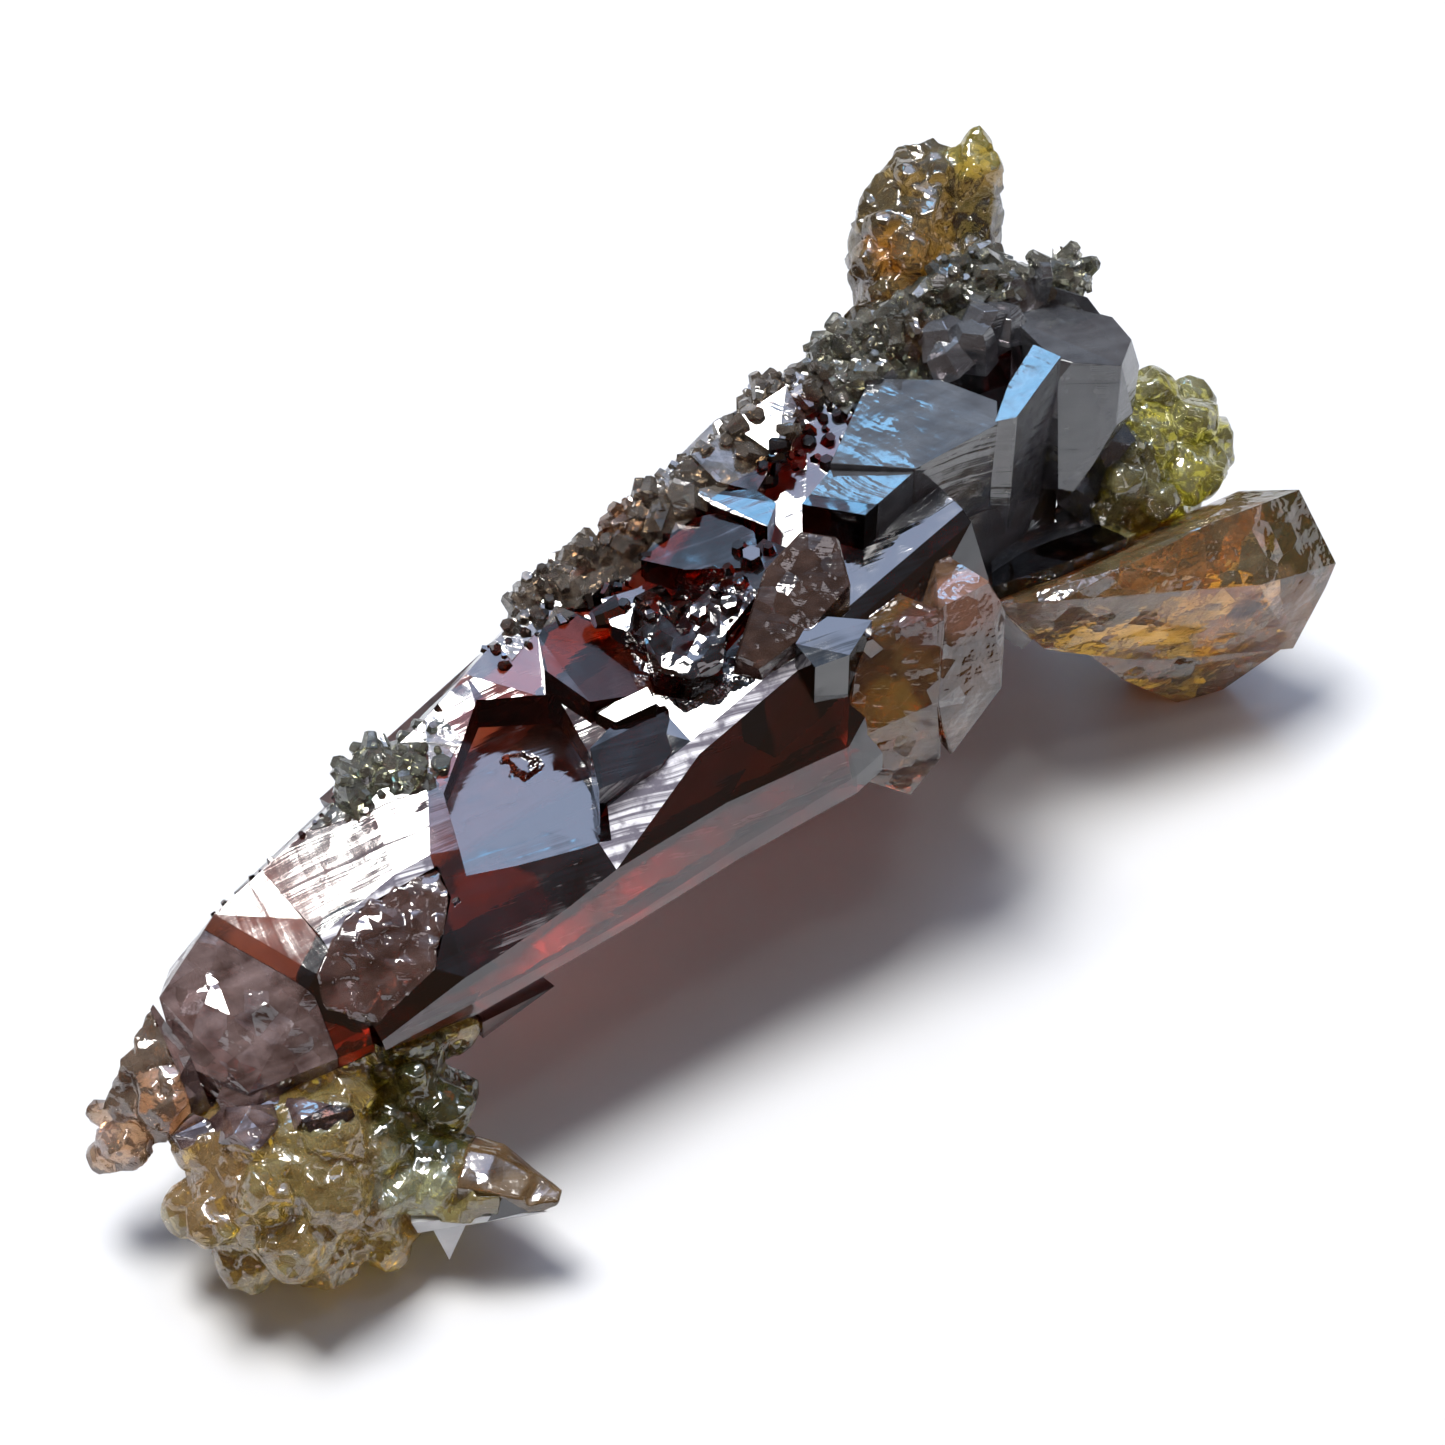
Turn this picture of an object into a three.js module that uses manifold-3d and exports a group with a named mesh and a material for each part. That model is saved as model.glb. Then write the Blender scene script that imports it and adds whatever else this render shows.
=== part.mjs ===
// A natural cluster of zincite: one long, dark red trunk, with smaller amber and yellow-green
// crystals grown onto its ends and a rough crest of tiny ones along its rear edge. All of it grew
// together, so it is a single solid. Millimetres, +Z up, long axis along X, resting on Z = 0.
import * as THREE from "three";
import { ConvexGeometry } from "three/addons/geometries/ConvexGeometry.js";
import { mergeVertices } from "three/addons/utils/BufferGeometryUtils.js";
import Module from "manifold-3d";

const wasm = await Module();
wasm.setup();

// ---- driving dimensions (mm) --------------------------------------------------------------
// Everything is placed in the frame the stone grew in: X along the trunk, Z = 0 the ground.

// The trunk's long edges, from its left shoulder to the head, as [x, y, z] corners.
const TRUNK_EDGES = {
  ridge: [[-17.0, -4.6, 7.9], [-15.7, -4.0, 8.4], [-13.0, -4.5, 8.9], [-10.8, -5.5, 8.8],
    [-9.0, -6.2, 8.7], [-5.8, -6.2, 9.5], [-2.1, -6.2, 10.5], [4.0, -5.8, 11.4]],
  bandTop: [[-16.6, -6.4, 6.3], [-14.0, -6.9, 7.6], [-11.6, -7.1, 7.9], [-9.5, -7.0, 8.2],
    [-7.2, -7.1, 8.4], [-4.8, -7.5, 8.7], [-2.2, -8.0, 8.7], [4.0, -7.0, 9.0]],
  bandMiddle: [[-16.6, -6.45, 6.2], [-14.0, -7.2, 6.8], [-9.5, -7.6, 6.75], [-7.2, -7.7, 6.95],
    [-4.8, -8.0, 7.4], [-2.2, -8.35, 7.8], [4.0, -7.4, 7.8]],
  lowerFront: [[-16.6, -6.5, 6.1], [-14.0, -7.25, 6.3], [-9.5, -7.6, 6.4], [-7.2, -7.75, 6.45],
    [-4.8, -8.05, 7.0], [-2.2, -8.4, 7.1], [4.0, -7.4, 7.1]],
  under: [[-16.0, -3.6, 4.4], [-11.0, -4.0, 4.4], [4.0, -4.0, 4.8]],
  rear: [[-16.0, 0.4, 5.6], [-10.0, 1.2, 6.6], [4.0, 3.2, 7.6]],
  crown: [[-18.0, -1.5, 8.0], [-14.2, -1.3, 9.0], [-10.3, -1.0, 10.0], [-6.7, 0.1, 10.4],
    [-2.1, 0.8, 11.0], [1.7, 1.2, 11.9], [4.0, 0.8, 12.2]],
};
const TRUNK_STATIONS = [-16.4, -14.0, -13.0, -10.8, -9.2, -5.8, -2.2, 3.8];
const BEVEL_WIDTH = 0.35;

// Rows of tiny crystals: the path they stand on, how many there are, and how far they stray from it.
const CREST_ROWS = [
  { path: [[-13.4, -1.1, 8.9], [-11.6, -1.5, 9.5]], count: 8, width: 0.5 },
  { path: [[-6.2, -0.4, 10.3], [-4.8, -0.3, 10.7], [-2.6, -0.3, 11.2], [-0.6, -0.3, 11.4]], count: 15,
    width: 0.6 },
  { path: [[-0.6, -0.5, 11.3], [2.0, 0.0, 11.9], [4.4, 0.0, 12.2]], count: 12 },
  { path: [[4.6, 0.4, 12.5], [6.0, -0.7, 12.8], [7.8, -1.6, 12.8]], count: 11 },
  { path: [[6.0, 1.0, 12.4], [8.0, 0.3, 12.8], [10.0, -0.8, 12.5], [11.0, -1.9, 12.1]], count: 13 },
];
const CREST_LENGTH = 1.15;
const CREST_THICKNESS = 0.72;
const CREST_SEED = 51;

const COLUMN_NARROWING = 0.08;
const CORE_SHARE = 0.9;
const GROUND_DEPTH = 20;
const GROUND_WIDTH = 100;
const GOLDEN_ANGLE = Math.PI * (3 - Math.sqrt(5));

// ---- solids -------------------------------------------------------------------------------

const V = (corner) => new THREE.Vector3(...corner);

// A closed three.js geometry as a solid that can be joined and cut.
function solidOf(geometry) {
  const bare = geometry.clone();
  bare.deleteAttribute("normal");
  bare.deleteAttribute("uv");
  const merged = mergeVertices(bare, 1e-4);
  const vertProperties = new Float32Array(merged.attributes.position.array);
  const triVerts = new Uint32Array(merged.index.array);
  return new wasm.Manifold(new wasm.Mesh({ numProp: 3, vertProperties, triVerts }));
}

// The flat-faced body that a few corners enclose.
const hull = (corners) => solidOf(new ConvexGeometry(corners.map(V)));

const joined = (parts) => parts.reduce((whole, part) => whole.add(part));

// A crystal known by the corners of its top face: it runs down from there, narrowing slightly.
function column(depth, top) {
  const sum = top.reduce((total, corner) => total.add(V(corner)), new THREE.Vector3());
  const middle = sum.divideScalar(top.length);
  const foot = top.map(([x, y, z]) => [
    x + (middle.x - x) * COLUMN_NARROWING,
    y + (middle.y - y) * COLUMN_NARROWING,
    Math.min(z, middle.z) - depth,
  ]);
  return hull([...top, ...foot]);
}

// A crystal with upright sides under a top face given by its corners.
const plate = (depth, top) => hull([...top, ...top.map(([x, y, z]) => [x, y, z - depth])]);

// A repeatable number from 0 to 1, and one from low to high.
function chance(index, seed) {
  const wave = Math.sin(index * 12.9898 + seed * 78.233) * 43758.5453;
  return wave - Math.floor(wave);
}

const between = (low, high, index, seed) => low + (high - low) * chance(index, seed);

// `count` directions spread evenly over a sphere.
function directions(count, turn) {
  return Array.from({ length: count }, (_, k) => {
    const height = 1 - (2 * (k + 0.5)) / count;
    const ringSize = Math.sqrt(1 - height * height);
    const angle = k * GOLDEN_ANGLE + turn;
    return [Math.cos(angle) * ringSize, Math.sin(angle) * ringSize, height];
  });
}

// A prismatic crystal: corners round its root and its shoulder, then a point or a small end face.
function crystal(shape) {
  const { root, tip, radius, flat = 1, sides = 6, roll = 0 } = shape;
  const { shoulder = 0.65, taper = 0.85, end = 0.12 } = shape;
  const from = V(root);
  const along = V(tip).sub(from);
  const axis = along.clone().normalize();
  const side = new THREE.Vector3(0, 0, 1).cross(axis).normalize();
  const third = axis.clone().cross(side);
  const rings = [[0, radius], [shoulder, radius * taper], [1, radius * end]];
  const corners = rings.flatMap(([share, size]) =>
    Array.from({ length: sides }, (_, k) => {
      const angle = roll + (k / sides) * Math.PI * 2;
      return from
        .clone()
        .addScaledVector(along, share)
        .addScaledVector(side, Math.cos(angle) * size)
        .addScaledVector(third, Math.sin(angle) * size * flat)
        .toArray();
    }),
  );
  return hull(corners);
}

// A blunt lump with flat facets, about `size` from its middle to its skin.
function lump(centre, size, seed) {
  const corners = directions(12, seed * 2.4).map((way, k) => {
    const reach = size * between(0.88, 1.12, k, seed);
    return way.map((share, axis) => centre[axis] + share * reach);
  });
  return hull(corners);
}

// Lumps side by side all over a rounded core.
function botryoid({ centre, radii, count, size, seed }) {
  const ways = directions(count, seed);
  const lumps = ways.map((way, k) => {
    const lumpSize = size * between(0.7, 1.3, k, seed + 1);
    const place = way.map((share, axis) => centre[axis] + share * (radii[axis] - lumpSize * 0.7));
    return lump(place, lumpSize, seed + k);
  });
  const core = radii.map((radius) => radius * CORE_SHARE);
  const coreCorners = ways.map((way) => way.map((share, axis) => centre[axis] + share * core[axis]));
  return joined([...lumps, hull(coreCorners)]);
}

// The low bank of stone, `width` to each side of a path, that a row of small crystals stands on.
function bank(path, width) {
  const section = ([x, y, z]) => [
    [x - width * 0.5, y + width, z - 0.5],
    [x + width * 0.5, y - width, z - 0.5],
    [x - width * 0.2, y + width * 0.4, z + 0.15],
    [x + width * 0.2, y - width * 0.4, z + 0.15],
    [x, y, z - 1.6],
  ];
  return joined(path.slice(1).map((point, k) => hull([...section(path[k]), ...section(point)])));
}

// Small crystals in a row on their bank, all leaning a little differently from upright.
function crust({ path, count, width = 0.8, seed }) {
  const curve = new THREE.CatmullRomCurve3(path.map(V));
  const crystals = Array.from({ length: count }, (_, k) => {
    const foot = curve.getPointAt((k + 0.5) / count);
    foot.x += between(-width, width, k, seed);
    foot.y += between(-width, width, k, seed + 1);
    foot.z += between(-0.3, 0.3, k, seed + 2);
    const lean = new THREE.Vector3(between(-0.9, 0.7, k, seed + 3), between(-0.7, 0.9, k, seed + 4), 1);
    lean.normalize();
    return crystal({
      root: foot.clone().addScaledVector(lean, -CREST_LENGTH / 2).toArray(),
      tip: foot.clone().addScaledVector(lean, CREST_LENGTH * between(0.3, 0.8, k, seed + 6)).toArray(),
      radius: CREST_THICKNESS * between(0.7, 1.3, k, seed + 7),
      flat: between(0.6, 1, k, seed + 8),
      sides: chance(k, seed + 12) < 0.6 ? 5 : 4,
      roll: between(0, 3, k, seed + 9),
      shoulder: between(0.6, 0.85, k, seed + 10),
      end: between(0.2, 0.6, k, seed + 11),
    });
  });
  return joined([...crystals, bank(path, width)]);
}

// ---- the trunk ----------------------------------------------------------------------------

// Where a long edge passes a station along X.
function edgeAt(edge, x) {
  const found = edge.findIndex((corner) => corner[0] >= x);
  const next = found < 0 ? edge.length - 1 : Math.max(found, 1);
  const [a, b] = [edge[next - 1], edge[next]];
  const share = (x - a[0]) / (b[0] - a[0]);
  return a.map((value, axis) => value + (b[axis] - value) * share);
}

function trunkSection(x) {
  const [ridgeX, ridgeY, ridgeZ] = edgeAt(TRUNK_EDGES.ridge, x);
  const bevel = [ridgeX, ridgeY + BEVEL_WIDTH, ridgeZ + BEVEL_WIDTH * 0.6];
  return [...Object.values(TRUNK_EDGES).map((edge) => edgeAt(edge, x)), bevel];
}

// The level step below the trunk's crown, as the stone that is missing above its floor.
function missingStep() {
  const floor = [
    [-9.4, -1.4, 8.75], [-7.7, -2.6, 8.75], [-8.0, -4.3, 8.7], [-8.4, -5.6, 8.65],
    [-9.0, -6.6, 8.62], [-12.6, -5.2, 8.75], [-11.7, -3.0, 8.75],
  ];
  return hull([...floor, ...floor.map(([x, y, z]) => [x, y, z + 4])]);
}

function trunk() {
  const sections = TRUNK_STATIONS.map(trunkSection);
  const lengths = sections.slice(1).map((section, k) => hull([...sections[k], ...section]));
  const shoulder = hull([
    [-20.2, -2.0, 6.8], [-18.0, -1.5, 8.0], [-14.2, -1.3, 9.0], [-15.7, -4.0, 8.4],
    [-17.0, -4.6, 7.9], [-19.0, -2.8, 7.2], [-16.6, -6.3, 6.3], [-17.7, -6.0, 6.2],
    [-19.8, -5.3, 5.9], [-20.6, -3.2, 5.6], [-19.0, -0.4, 5.2], [-14.0, 0.6, 5.8],
    [-20.2, -3.0, 3.6], [-15.0, -3.6, 4.4], [-16.4, -6.2, 5.0], [-20.0, -4.8, 4.4],
  ]);
  const keel = hull([
    [-16.6, -6.3, 5.6], [-14.2, -6.85, 5.2], [-14.3, -6.8, 4.2], [-11.2, -6.8, 4.5],
    [-16.2, -4.0, 4.0], [-11.5, -4.5, 4.4],
  ]);
  return joined([shoulder, keel, ...lengths]).subtract(missingStep());
}

// Flat-topped crystals packed along the trunk's upper side. Each has its own tilt, so each
// mirrors another part of the sky, and neighbours share corners where they meet.
function trunkSteps() {
  return joined([
    plate(2, [
      [-6.3, -0.8, 10.9], [-5.6, -1.9, 10.6], [-5.2, -3.4, 10.3], [-5.9, -4.3, 10.3],
      [-7.5, -3.8, 10.7], [-7.9, -2.4, 11.0], [-7.4, -1.5, 11.1],
    ]),
    plate(1.2, [[-7.4, -3.9, 10.3], [-6.0, -4.3, 10.6], [-6.1, -4.8, 10.5], [-7.2, -4.5, 10.3]]),
    plate(1.6, [
      [-8.2, -4.7, 10.2], [-6.9, -4.3, 10.1], [-5.0, -4.8, 9.8], [-5.8, -5.6, 9.6],
      [-6.8, -5.9, 9.6], [-8.7, -5.7, 9.9],
    ]),
    plate(1.5, [
      [-5.4, -1.6, 11.2], [-4.4, -2.0, 11.3], [-4.3, -3.0, 11.3], [-5.2, -3.4, 11.1],
      [-5.7, -2.4, 11.1],
    ]),
    plate(2, [
      [-5.3, -3.3, 11.1], [-4.2, -3.1, 11.4], [-3.6, -3.5, 11.5], [-3.5, -4.5, 11.4],
      [-4.2, -5.2, 11.1], [-5.1, -5.0, 10.9], [-5.7, -4.2, 10.9],
    ]),
    plate(3, [
      [-3.9, -1.4, 11.5], [-2.6, -0.9, 11.57], [-1.4, -1.6, 11.77], [-1.2, -2.8, 11.92],
      [-1.85, -3.9, 11.97], [-2.5, -3.2, 11.83], [-3.3, -2.5, 11.67],
    ]),
    plate(3.5, [
      [-3.8, -5.2, 11.0], [-2.0, -4.2, 12.3], [-0.7, -4.1, 12.8], [0.0, -4.8, 12.7],
      [-0.4, -5.8, 12.0], [-2.0, -6.0, 11.4], [-3.4, -5.8, 10.8],
    ]),
    plate(3, [
      [-2.5, -6.1, 11.4], [-1.6, -5.7, 11.5], [-0.5, -6.8, 11.5], [-1.6, -7.2, 11.3],
      [-2.5, -6.9, 11.2],
    ]),
    plate(3, [
      [-1.6, -0.7, 12.0], [-0.4, -1.2, 12.0], [-0.2, -2.5, 12.1], [-0.9, -3.0, 12.1],
      [-1.0, -2.4, 12.0], [-1.5, -1.5, 12.0],
    ]),
    plate(3, [
      [-1.0, 0.1, 12.3], [0.5, 0.2, 12.2], [0.9, -1.2, 12.0], [-0.3, -1.8, 12.0], [-1.0, -1.0, 12.2],
    ]),
    plate(3, [[0.4, 0.2, 12.5], [2.2, 0.0, 12.9], [2.0, -0.8, 12.7], [0.7, -1.4, 12.4]]),
    plate(2, [
      [-3.9, -3.4, 11.4], [-2.2, -3.6, 11.8], [-1.2, -3.2, 12.0], [-1.0, -4.0, 12.2],
      [-2.2, -4.4, 11.9], [-3.6, -4.6, 11.3],
    ]),
  ]);
}

// Long blunt crystals lying side by side along the trunk's rear wall and its underside.
function sideCrystals() {
  const long = { flat: 0.7, shoulder: 0.9, taper: 0.95, end: 0.7 };
  return joined([
    crystal({ ...long, root: [-13.0, -0.5, 6.2], tip: [-4.4, 0.5, 7.6], radius: 1.4, roll: 0.4 }),
    crystal({ ...long, root: [-6.0, 0.6, 6.6], tip: [3.6, 2.4, 8.0], radius: 1.7, roll: 0.9 }),
    crystal({ ...long, root: [-11.0, -0.6, 5.6], tip: [-1.0, 0.9, 6.0], radius: 1.3, roll: 0.2 }),
    crystal({ ...long, root: [-3.0, 0.2, 5.8], tip: [5.0, 2.2, 5.4], radius: 1.4, roll: 0.7 }),
    crystal({ ...long, root: [-15.5, -2.6, 5.6], tip: [-6.0, -4.4, 5.4], radius: 1.1, roll: 0.1 }),
    crystal({ ...long, root: [-9.0, -3.4, 5.5], tip: [2.5, -5.0, 5.6], radius: 1.2, roll: 0.6 }),
  ]);
}

// ---- the right end ------------------------------------------------------------------------

// Blocky upright crystals with big flat faces.
function head() {
  const slate = column(7.5, [
    [4.3, -1.0, 12.6], [5.7, -2.3, 12.7], [6.3, -3.9, 12.8], [5.7, -4.6, 12.9],
    [2.9, -4.5, 13.0], [1.4, -2.8, 12.8],
  ]);
  const lowLedge = column(6, [
    [1.4, -2.8, 12.53], [3.0, -4.45, 12.88], [1.0, -4.7, 12.7], [0.1, -3.2, 12.45],
  ]);
  const strip = column(7, [
    [8.3, -3.1, 13.02], [8.5, -4.0, 13.14], [6.2, -4.8, 12.99], [5.7, -4.5, 12.91],
    [6.9, -3.7, 12.94],
  ]);
  const outerPrism = hull([
    [8.5, -3.95, 12.15], [8.95, -4.0, 12.6], [10.15, -4.7, 12.25], [9.7, -5.15, 10.5],
    [9.0, -5.15, 9.45], [8.35, -5.1, 8.7], [8.0, -4.85, 8.85], [11.4, -4.2, 11.0],
    [10.6, -4.9, 10.2], [11.4, -3.8, 11.7], [11.6, -2.8, 11.65], [10.5, -1.6, 12.0],
    [8.7, -1.8, 12.7], [8.6, -3.6, 12.7], [8.4, -2.5, 6.5], [10.6, -2.8, 8.0], [10.6, -1.4, 8.0],
  ]);
  const darkStep = hull([
    [3.7, -4.6, 9.9], [5.3, -4.6, 9.6], [7.6, -4.6, 8.6], [5.6, -4.9, 7.6], [6.4, -4.9, 6.4],
    [3.4, -5.0, 7.2], [3.6, -2.0, 10.2], [7.4, -2.0, 9.0], [3.6, -2.0, 6.4], [7.0, -2.0, 6.4],
  ]);
  const bulk = hull([
    [0.5, 2.6, 8.0], [1.5, 1.0, 11.2], [4.0, 0.9, 11.9], [8.6, 1.8, 11.6], [11.2, 0.2, 11.0],
    [10.8, -2.0, 10.5], [0.0, -4.8, 5.0], [8.5, -4.4, 5.0], [2.0, 1.6, 4.8], [9.5, 1.6, 4.6],
    [9.0, 0.0, 12.6], [4.2, -1.0, 12.2], [6.0, 0.6, 12.6],
  ]);
  return joined([slate, lowLedge, strip, outerPrism, darkStep, bulk]);
}

// The amber spire behind the head: a lumpy body and one sharp crystal.
function spire() {
  const body = hull([
    [7.6, 3.8, 12.4], [7.9, 3.7, 13.3], [9.6, 4.1, 14.2], [10.4, 3.6, 14.3], [10.8, 2.9, 14.3],
    [8.6, 1.6, 14.0], [7.4, 1.6, 13.2], [6.5, 1.5, 12.3], [6.0, 1.4, 11.0], [9.8, 0.6, 10.5],
    [7.0, 2.8, 11.0], [10.2, 2.4, 11.0], [8.0, 0.2, 12.0],
  ]);
  const sharp = { radius: 0.9, roll: 0.2, shoulder: 0.78, taper: 0.9, end: 0.04 };
  return joined([
    body,
    crystal({ ...sharp, root: [9.4, 0.9, 10.8], tip: [11.4, 2.8, 14.9] }),
    botryoid({ centre: [7.9, 2.0, 12.7], radii: [1.5, 1.3, 1.4], count: 10, size: 0.7, seed: 21 }),
    botryoid({ centre: [9.4, 3.0, 13.6], radii: [1.0, 1.0, 1.0], count: 7, size: 0.55, seed: 22 }),
  ]);
}

// A tabular amber crystal against the trunk's front, with a thinner slab beside it.
function frontBlock() {
  const block = hull([
    [-0.9, -6.8, 10.8], [1.2, -7.7, 11.4], [0.3, -8.6, 9.2], [0.3, -8.9, 7.0], [-0.4, -8.6, 5.7],
    [-2.1, -7.8, 7.2], [-2.1, -7.7, 8.4], [1.0, -5.5, 10.5], [1.0, -6.0, 6.5], [-1.5, -6.0, 7.0],
  ]);
  const slab = hull([
    [1.1, -7.6, 11.5], [2.8, -7.7, 11.4], [3.2, -8.0, 10.2], [2.4, -8.9, 8.4], [0.6, -9.0, 7.0],
    [0.3, -8.6, 9.2], [2.8, -5.5, 10.8], [2.6, -6.0, 7.0], [0.6, -6.0, 8.0],
  ]);
  return joined([block, slab]);
}

// A thick prism that points right, the block under it that reaches the ground, and its root.
function brownPrism() {
  const prism = hull([
    [4.8, -6.0, 7.4], [6.2, -7.1, 7.5], [8.2, -7.4, 7.7], [11.3, -7.7, 7.6], [14.6, -7.9, 6.8],
    [14.8, -9.5, 4.9], [14.4, -9.6, 4.2], [11.8, -9.3, 6.0], [6.3, -6.6, 4.8], [9.3, -7.7, 3.0],
    [13.3, -9.7, 2.4], [12.6, -8.6, 2.0], [13.6, -6.6, 4.0], [13.8, -6.4, 6.0], [6.0, -4.2, 5.0],
    [9.0, -5.4, 3.0],
  ]);
  const block = hull([
    [7.6, -6.9, 4.0], [8.6, -7.6, 2.6], [10.6, -8.1, 1.0], [11.8, -8.6, 0.6], [13.2, -9.4, 2.2],
    [12.4, -7.6, 0.0], [10.8, -7.8, 0.0], [10.4, -6.2, 0.0], [12.2, -6.0, 0.0], [9.0, -5.6, 3.0],
    [13.4, -6.8, 3.6],
  ]);
  const root = hull([
    [5.0, -5.6, 7.6], [7.0, -6.4, 7.9], [9.6, -6.6, 7.4], [10.0, -4.6, 6.4], [6.0, -4.4, 7.6],
    [5.2, -5.9, 5.6], [5.7, -6.3, 5.0], [9.6, -5.2, 4.6],
  ]);
  return joined([prism, block, root]);
}

function rightCluster() {
  return joined([
    botryoid({ centre: [12.4, -3.8, 6.4], radii: [2.7, 2.3, 2.4], count: 17, size: 0.95, seed: 7 }),
    botryoid({ centre: [10.5, -4.9, 6.7], radii: [2.1, 1.6, 2.6], count: 12, size: 0.8, seed: 8 }),
  ]);
}

// Blunt crystals that grew downwards behind the head and carry that end.
function rearFoot() {
  const blunt = { flat: 0.8, shoulder: 0.7, taper: 0.8, end: 0.45 };
  return joined([
    crystal({ ...blunt, root: [6.6, -0.6, 9.4], tip: [8.0, 3.8, -1.0], radius: 2.5, roll: 0.3 }),
    crystal({ ...blunt, root: [8.6, -1.0, 9.0], tip: [10.4, 1.8, 1.6], radius: 2.0, roll: 0.8 }),
    crystal({ ...blunt, root: [4.0, -0.6, 9.0], tip: [4.6, 3.2, 2.4], radius: 2.2, roll: 0.5 }),
    crystal({ ...blunt, root: [6.0, -3.0, 7.0], tip: [5.6, -1.4, 2.6], radius: 1.9, roll: 0.1 }),
  ]);
}

// ---- the left end -------------------------------------------------------------------------

function leftTip() {
  const wedge = hull([
    [-20.4, -2.0, 6.7], [-21.8, -2.4, 5.6], [-22.6, -2.4, 4.2], [-21.6, -3.8, 4.9],
    [-20.4, -3.6, 6.2], [-20.2, -2.0, 3.8], [-22.4, -2.9, 3.2], [-20.4, -4.6, 3.4],
  ]);
  return joined([
    wedge,
    lump([-22.4, -3.1, 3.5], 0.8, 31),
    lump([-22.9, -2.9, 3.0], 0.5, 32),
    lump([-22.6, -2.3, 4.1], 0.35, 33),
    lump([-21.3, -3.5, 5.0], 0.9, 34),
  ]);
}

// The lumpy mass under the tip that carries the left end.
function leftCluster() {
  return joined([
    botryoid({ centre: [-19.6, -6.3, 3.2], radii: [3.2, 2.9, 3.2], count: 24, size: 1.05, seed: 3 }),
    botryoid({ centre: [-15.7, -6.6, 2.9], radii: [1.4, 1.8, 2.6], count: 15, size: 0.62, seed: 4 }),
    lump([-18.3, -8.6, 1.6], 0.9, 35),
    lump([-17.9, -8.3, 3.0], 0.8, 36),
  ]);
}

// The pointed crystal beside that mass, the thin blade along its lower edge and a hanging shard.
function leftPoint() {
  const point = crystal({
    root: [-17.2, -7.6, 2.8],
    tip: [-14.5, -11.2, 2.9],
    radius: 1.35,
    flat: 0.75,
    roll: 0.2,
    shoulder: 0.6,
    end: 0.16,
  });
  const blade = hull([
    [-17.8, -9.2, 2.5], [-14.9, -11.2, 2.6], [-17.7, -9.3, 2.0], [-15.0, -10.9, 2.2],
    [-17.4, -8.6, 2.3], [-15.2, -10.4, 2.4],
  ]);
  const shard = hull([
    [-17.4, -9.4, 2.4], [-16.4, -9.9, 2.4], [-17.2, -9.9, 0.9], [-17.2, -9.0, 2.2],
    [-16.6, -9.4, 2.2],
  ]);
  return joined([point, blade, shard]);
}

// ---- the whole stone ----------------------------------------------------------------------

// All the crystals joined, and levelled where they touch the ground.
function stone() {
  const crest = CREST_ROWS.map((row, k) => crust({ ...row, seed: CREST_SEED + k }));
  const grown = joined([
    trunk(), trunkSteps(), sideCrystals(), head(), spire(), frontBlock(), brownPrism(),
    rightCluster(), rearFoot(), leftTip(), leftCluster(), leftPoint(), ...crest,
  ]);
  const ground = new THREE.BoxGeometry(GROUND_WIDTH, GROUND_WIDTH, GROUND_DEPTH);
  ground.translate(0, 0, -GROUND_DEPTH / 2);
  return grown.subtract(solidOf(ground));
}

// The triangles of a solid's outer skin. Where tiny crystals lean on each other they can close off
// a speck of air, and its walls are left out, so that the stone is solid throughout.
function outerSkin({ numVert, triVerts }) {
  const skinOf = Array.from({ length: numVert }, (_, vertex) => vertex);
  const rootOf = (vertex) => {
    while (skinOf[vertex] !== vertex) {
      skinOf[vertex] = skinOf[skinOf[vertex]];
      vertex = skinOf[vertex];
    }
    return vertex;
  };
  for (let t = 0; t < triVerts.length; t += 3) {
    skinOf[rootOf(triVerts[t + 1])] = rootOf(triVerts[t]);
    skinOf[rootOf(triVerts[t + 2])] = rootOf(triVerts[t]);
  }
  const sizes = new Map();
  triVerts.forEach((vertex) => sizes.set(rootOf(vertex), (sizes.get(rootOf(vertex)) ?? 0) + 1));
  const [[outer]] = [...sizes].sort((a, b) => b[1] - a[1]);
  return triVerts.filter((vertex) => rootOf(vertex) === outer);
}

const skin = stone().getMesh();
const geometry = new THREE.BufferGeometry()
  .setAttribute("position", new THREE.BufferAttribute(new Float32Array(skin.vertProperties), 3))
  .setIndex(new THREE.BufferAttribute(new Uint32Array(outerSkin(skin)), 1));

const zincite = new THREE.MeshStandardMaterial({ color: 0x5a2426, roughness: 0.1, metalness: 0 });
const crystalCluster = new THREE.Mesh(geometry, zincite);
crystalCluster.name = "zincite_crystal";

// The origin is on the ground, under the middle of the stone.
geometry.computeBoundingBox();
const middle = geometry.boundingBox.getCenter(new THREE.Vector3());
crystalCluster.position.set(-middle.x, -middle.y, 0);

const group = new THREE.Group();
group.add(crystalCluster);
export default group;
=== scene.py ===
# %% [markdown]
# # Dressing a zincite crystal cluster
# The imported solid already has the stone's shape: a long trunk on two supports, with smaller
# crystals at its ends. What it lacks is what makes a mineral look like a mineral: clear colours
# that change from crystal to crystal, growth lines, pits, and edges that glint. This lesson makes
# a clear material for each crystal, cuts the solid into its crystals, refines each one, and then
# puts the two together.

# %% Load the frame
import math

import bmesh
import bpy
import numpy as np
from mathutils import Matrix, Vector
from mathutils.kdtree import KDTree


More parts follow.
